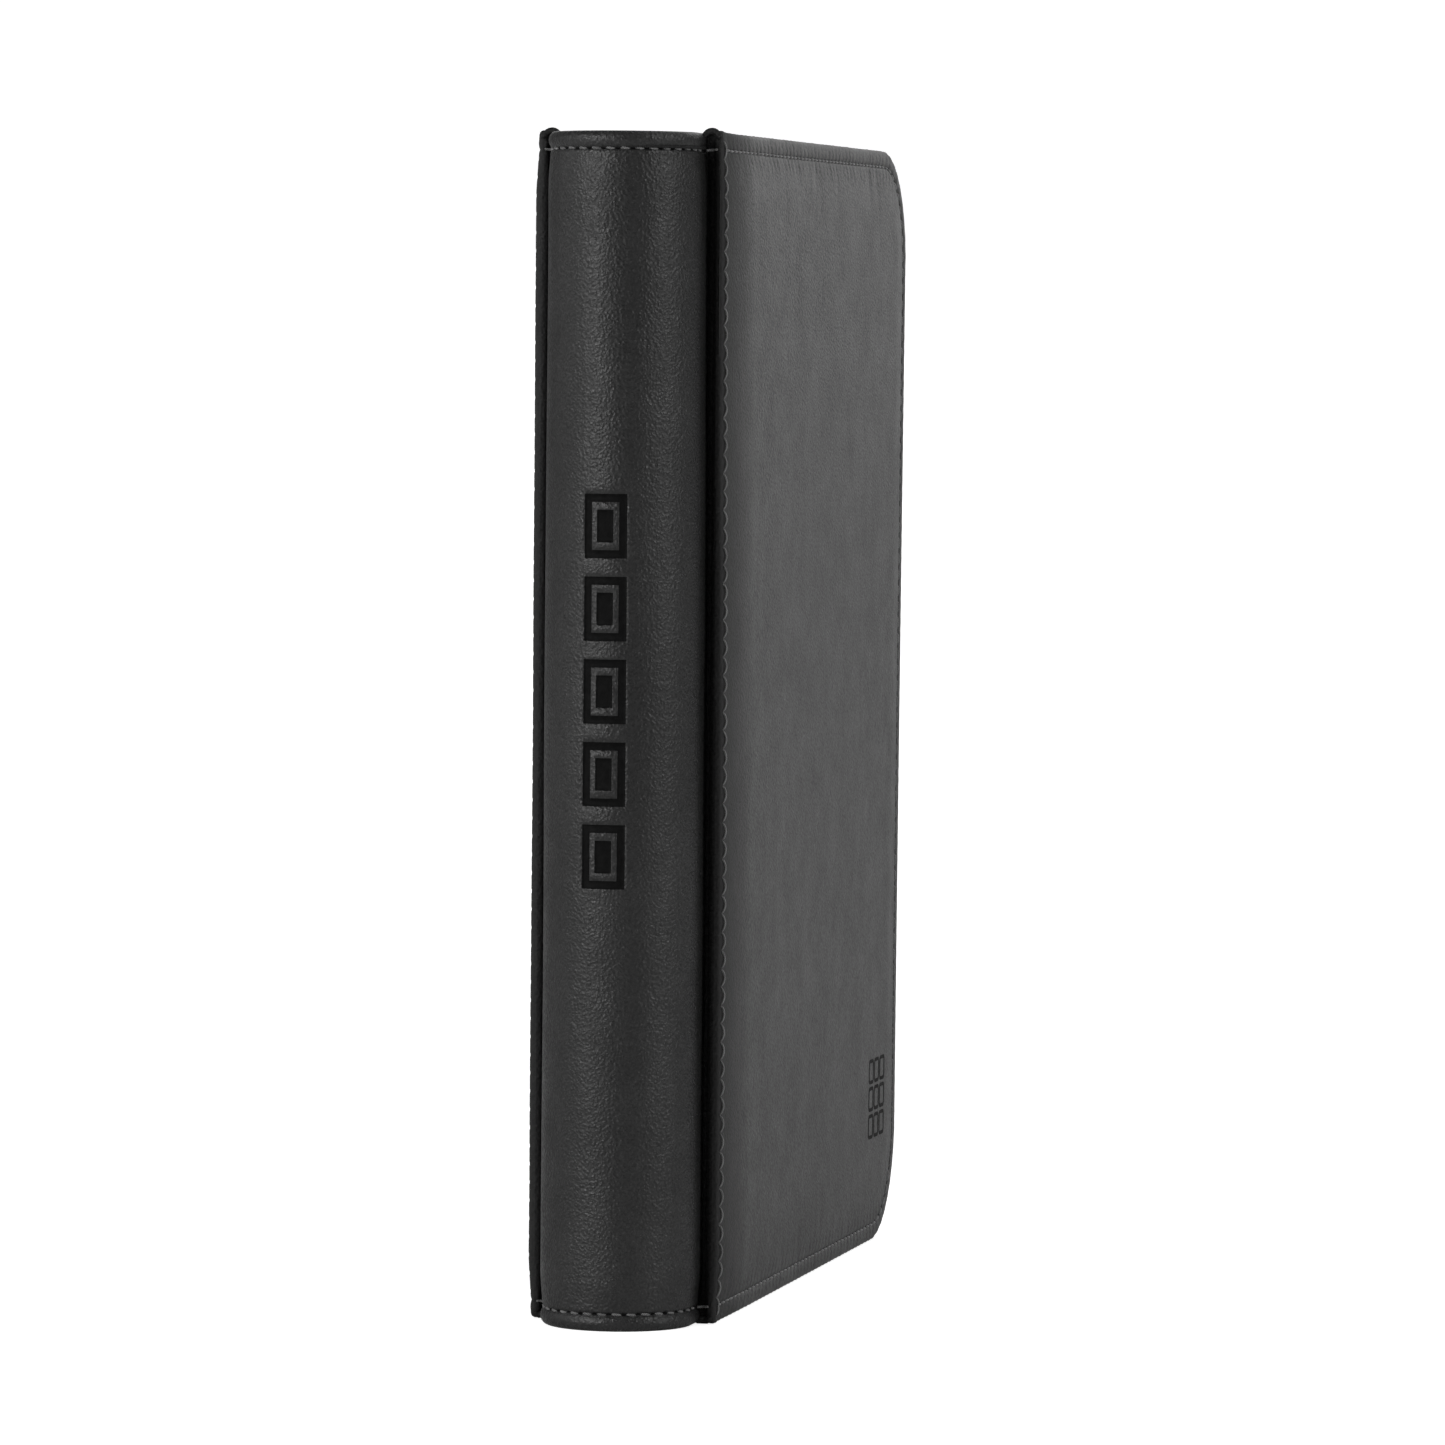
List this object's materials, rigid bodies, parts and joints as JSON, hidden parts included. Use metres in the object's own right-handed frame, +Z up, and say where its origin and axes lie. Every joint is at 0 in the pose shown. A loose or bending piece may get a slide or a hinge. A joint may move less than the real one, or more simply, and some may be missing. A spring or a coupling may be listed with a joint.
{
  "type": "trading card binder",
  "caption": "Zip-closed padded binder for trading cards, with a rounded spine, two hinged covers and side-loading clear pocket leaves riveted inside.",
  "frame": {"origin": "middle of the bottom of the whole closed binder", "axes": "+Z up, +Y from the rounded spine to the zipped fore edge, +X out of the front cover"},
  "size_m": [0.056, 0.289, 0.34],
  "materials": {
    "leatherette": "fine grain, soft sheen",
    "foam": "open cell foam",
    "board": "pressed board",
    "lining": "brushed lining",
    "binding_plastic": "matte",
    "rivet_metal": "satin black",
    "zip_tape": "woven",
    "zip_coil": "satin",
    "zip_metal": "black plated",
    "pocket_leaf": "embossed centre sheet under clear film"
  },
  "bodies": {
    "spine": {"spine_skin": "leatherette", "front_hinge_fold": "leatherette", "back_hinge_fold": "leatherette", "zip_end_tab_top": "leatherette", "zip_end_tab_bottom": "leatherette", "spine_end_panel_top": "leatherette", "spine_end_panel_bottom": "leatherette", "spine_foam": "foam", "spine_former": "board", "spine_board": "board", "page_binding_web": "binding_plastic", "binding_rivets": "rivet_metal", "zip_tape_end_top": "zip_tape", "zip_tape_end_bottom": "zip_tape", "zip_top_stops": "zip_metal", "zip_bottom_stop": "zip_metal"},
    "front_cover": {"front_cover_skin": "leatherette", "front_cover_foam": "foam", "front_cover_board": "board", "front_cover_lining": "lining", "front_side_band": "leatherette", "front_zip_tape": "zip_tape", "front_zip_coil": "zip_coil"},
    "back_cover": {"back_cover_skin": "leatherette", "back_cover_foam": "foam", "back_cover_board": "board", "back_cover_lining": "lining", "back_side_band": "leatherette", "back_zip_tape": "zip_tape", "back_zip_coil": "zip_coil"},
    "leaf_01_body": {"leaf_01": "pocket_leaf"},
    "leaf_02_body": {"leaf_02": "pocket_leaf"},
    "leaf_03_body": {"leaf_03": "pocket_leaf"},
    "leaf_04_body": {"leaf_04": "pocket_leaf"},
    "leaf_05_body": {"leaf_05": "pocket_leaf"},
    "leaf_06_body": {"leaf_06": "pocket_leaf"},
    "leaf_07_body": {"leaf_07": "pocket_leaf"},
    "leaf_08_body": {"leaf_08": "pocket_leaf"},
    "leaf_09_body": {"leaf_09": "pocket_leaf"},
    "leaf_10_body": {"leaf_10": "pocket_leaf"},
    "leaf_11_body": {"leaf_11": "pocket_leaf"},
    "leaf_12_body": {"leaf_12": "pocket_leaf"},
    "leaf_13_body": {"leaf_13": "pocket_leaf"},
    "leaf_14_body": {"leaf_14": "pocket_leaf"},
    "leaf_15_body": {"leaf_15": "pocket_leaf"},
    "leaf_16_body": {"leaf_16": "pocket_leaf"},
    "leaf_17_body": {"leaf_17": "pocket_leaf"},
    "leaf_18_body": {"leaf_18": "pocket_leaf"},
    "leaf_19_body": {"leaf_19": "pocket_leaf"},
    "leaf_20_body": {"leaf_20": "pocket_leaf"},
    "slider": {"zip_slider": "zip_metal"},
    "pull": {"zip_pull_tab": "zip_metal"}
  },
  "joints": [
    {"name": "front_cover_open", "type": "hinge", "parent": "spine", "child": "front_cover", "pos_m": [0.0251, -0.1167, 0.17], "axis": [0, 0, -1], "range_deg": [0, 90]},
    {"name": "back_cover_open", "type": "hinge", "parent": "spine", "child": "back_cover", "pos_m": [-0.0251, -0.1167, 0.17], "axis": [0, 0, 1], "range_deg": [0, 90]},
    {"name": "zip_slide", "type": "slide", "parent": "back_cover", "child": "slider", "axis": [0, 1, 0], "range_m": [0, 0.201]},
    {"name": "zip_pull_flip", "type": "hinge", "parent": "slider", "child": "pull", "pos_m": [0, -0.1004, 0.33851], "axis": [1, 0, 0], "range_deg": [0, 175]},
    {"name": "leaf_01_turn", "type": "hinge", "parent": "spine", "child": "leaf_01_body", "pos_m": [0.0209, -0.1119, 0.17], "axis": [0, 0, -1], "range_deg": [0, 82.32]},
    {"name": "leaf_02_turn", "type": "hinge", "parent": "spine", "child": "leaf_02_body", "pos_m": [0.0187, -0.1119, 0.17], "axis": [0, 0, -1], "range_deg": [0, 74.14]},
    {"name": "leaf_03_turn", "type": "hinge", "parent": "spine", "child": "leaf_03_body", "pos_m": [0.0165, -0.1119, 0.17], "axis": [0, 0, -1], "range_deg": [0, 65.95]},
    {"name": "leaf_04_turn", "type": "hinge", "parent": "spine", "child": "leaf_04_body", "pos_m": [0.0143, -0.1119, 0.17], "axis": [0, 0, -1], "range_deg": [0, 57.77]},
    {"name": "leaf_05_turn", "type": "hinge", "parent": "spine", "child": "leaf_05_body", "pos_m": [0.0121, -0.1119, 0.17], "axis": [0, 0, -1], "range_deg": [0, 49.59]},
    {"name": "leaf_06_turn", "type": "hinge", "parent": "spine", "child": "leaf_06_body", "pos_m": [0.0099, -0.1119, 0.17], "axis": [0, 0, -1], "range_deg": [0, 41.41]},
    {"name": "leaf_07_turn", "type": "hinge", "parent": "spine", "child": "leaf_07_body", "pos_m": [0.0077, -0.1119, 0.17], "axis": [0, 0, -1], "range_deg": [0, 33.23]},
    {"name": "leaf_08_turn", "type": "hinge", "parent": "spine", "child": "leaf_08_body", "pos_m": [0.0055, -0.1119, 0.17], "axis": [0, 0, -1], "range_deg": [0, 25.05]},
    {"name": "leaf_09_turn", "type": "hinge", "parent": "spine", "child": "leaf_09_body", "pos_m": [0.0033, -0.1119, 0.17], "axis": [0, 0, -1], "range_deg": [0, 16.86]},
    {"name": "leaf_10_turn", "type": "hinge", "parent": "spine", "child": "leaf_10_body", "pos_m": [0.0011, -0.1119, 0.17], "axis": [0, 0, -1], "range_deg": [0, 8.68]},
    {"name": "leaf_11_turn", "type": "hinge", "parent": "spine", "child": "leaf_11_body", "pos_m": [-0.0011, -0.1119, 0.17], "axis": [0, 0, 1], "range_deg": [0, 8.68]},
    {"name": "leaf_12_turn", "type": "hinge", "parent": "spine", "child": "leaf_12_body", "pos_m": [-0.0033, -0.1119, 0.17], "axis": [0, 0, 1], "range_deg": [0, 16.86]},
    {"name": "leaf_13_turn", "type": "hinge", "parent": "spine", "child": "leaf_13_body", "pos_m": [-0.0055, -0.1119, 0.17], "axis": [0, 0, 1], "range_deg": [0, 25.05]},
    {"name": "leaf_14_turn", "type": "hinge", "parent": "spine", "child": "leaf_14_body", "pos_m": [-0.0077, -0.1119, 0.17], "axis": [0, 0, 1], "range_deg": [0, 33.23]},
    {"name": "leaf_15_turn", "type": "hinge", "parent": "spine", "child": "leaf_15_body", "pos_m": [-0.0099, -0.1119, 0.17], "axis": [0, 0, 1], "range_deg": [0, 41.41]},
    {"name": "leaf_16_turn", "type": "hinge", "parent": "spine", "child": "leaf_16_body", "pos_m": [-0.0121, -0.1119, 0.17], "axis": [0, 0, 1], "range_deg": [0, 49.59]},
    {"name": "leaf_17_turn", "type": "hinge", "parent": "spine", "child": "leaf_17_body", "pos_m": [-0.0143, -0.1119, 0.17], "axis": [0, 0, 1], "range_deg": [0, 57.77]},
    {"name": "leaf_18_turn", "type": "hinge", "parent": "spine", "child": "leaf_18_body", "pos_m": [-0.0165, -0.1119, 0.17], "axis": [0, 0, 1], "range_deg": [0, 65.95]},
    {"name": "leaf_19_turn", "type": "hinge", "parent": "spine", "child": "leaf_19_body", "pos_m": [-0.0187, -0.1119, 0.17], "axis": [0, 0, 1], "range_deg": [0, 74.14]},
    {"name": "leaf_20_turn", "type": "hinge", "parent": "spine", "child": "leaf_20_body", "pos_m": [-0.0209, -0.1119, 0.17], "axis": [0, 0, 1], "range_deg": [0, 82.32]}
  ],
  "couplings": [
    {"joint": "leaf_01_turn", "follows": "front_cover_open", "ratio": 0.90909},
    {"joint": "leaf_02_turn", "follows": "front_cover_open", "ratio": 0.81818},
    {"joint": "leaf_03_turn", "follows": "front_cover_open", "ratio": 0.72727},
    {"joint": "leaf_04_turn", "follows": "front_cover_open", "ratio": 0.63636},
    {"joint": "leaf_05_turn", "follows": "front_cover_open", "ratio": 0.54546},
    {"joint": "leaf_06_turn", "follows": "front_cover_open", "ratio": 0.45454},
    {"joint": "leaf_07_turn", "follows": "front_cover_open", "ratio": 0.36364},
    {"joint": "leaf_08_turn", "follows": "front_cover_open", "ratio": 0.27273},
    {"joint": "leaf_09_turn", "follows": "front_cover_open", "ratio": 0.18182},
    {"joint": "leaf_10_turn", "follows": "front_cover_open", "ratio": 0.090909},
    {"joint": "leaf_11_turn", "follows": "back_cover_open", "ratio": 0.090909},
    {"joint": "leaf_12_turn", "follows": "back_cover_open", "ratio": 0.18182},
    {"joint": "leaf_13_turn", "follows": "back_cover_open", "ratio": 0.27273},
    {"joint": "leaf_14_turn", "follows": "back_cover_open", "ratio": 0.36364},
    {"joint": "leaf_15_turn", "follows": "back_cover_open", "ratio": 0.45454},
    {"joint": "leaf_16_turn", "follows": "back_cover_open", "ratio": 0.54546},
    {"joint": "leaf_17_turn", "follows": "back_cover_open", "ratio": 0.63636},
    {"joint": "leaf_18_turn", "follows": "back_cover_open", "ratio": 0.72727},
    {"joint": "leaf_19_turn", "follows": "back_cover_open", "ratio": 0.81818},
    {"joint": "leaf_20_turn", "follows": "back_cover_open", "ratio": 0.90909}
  ]
}
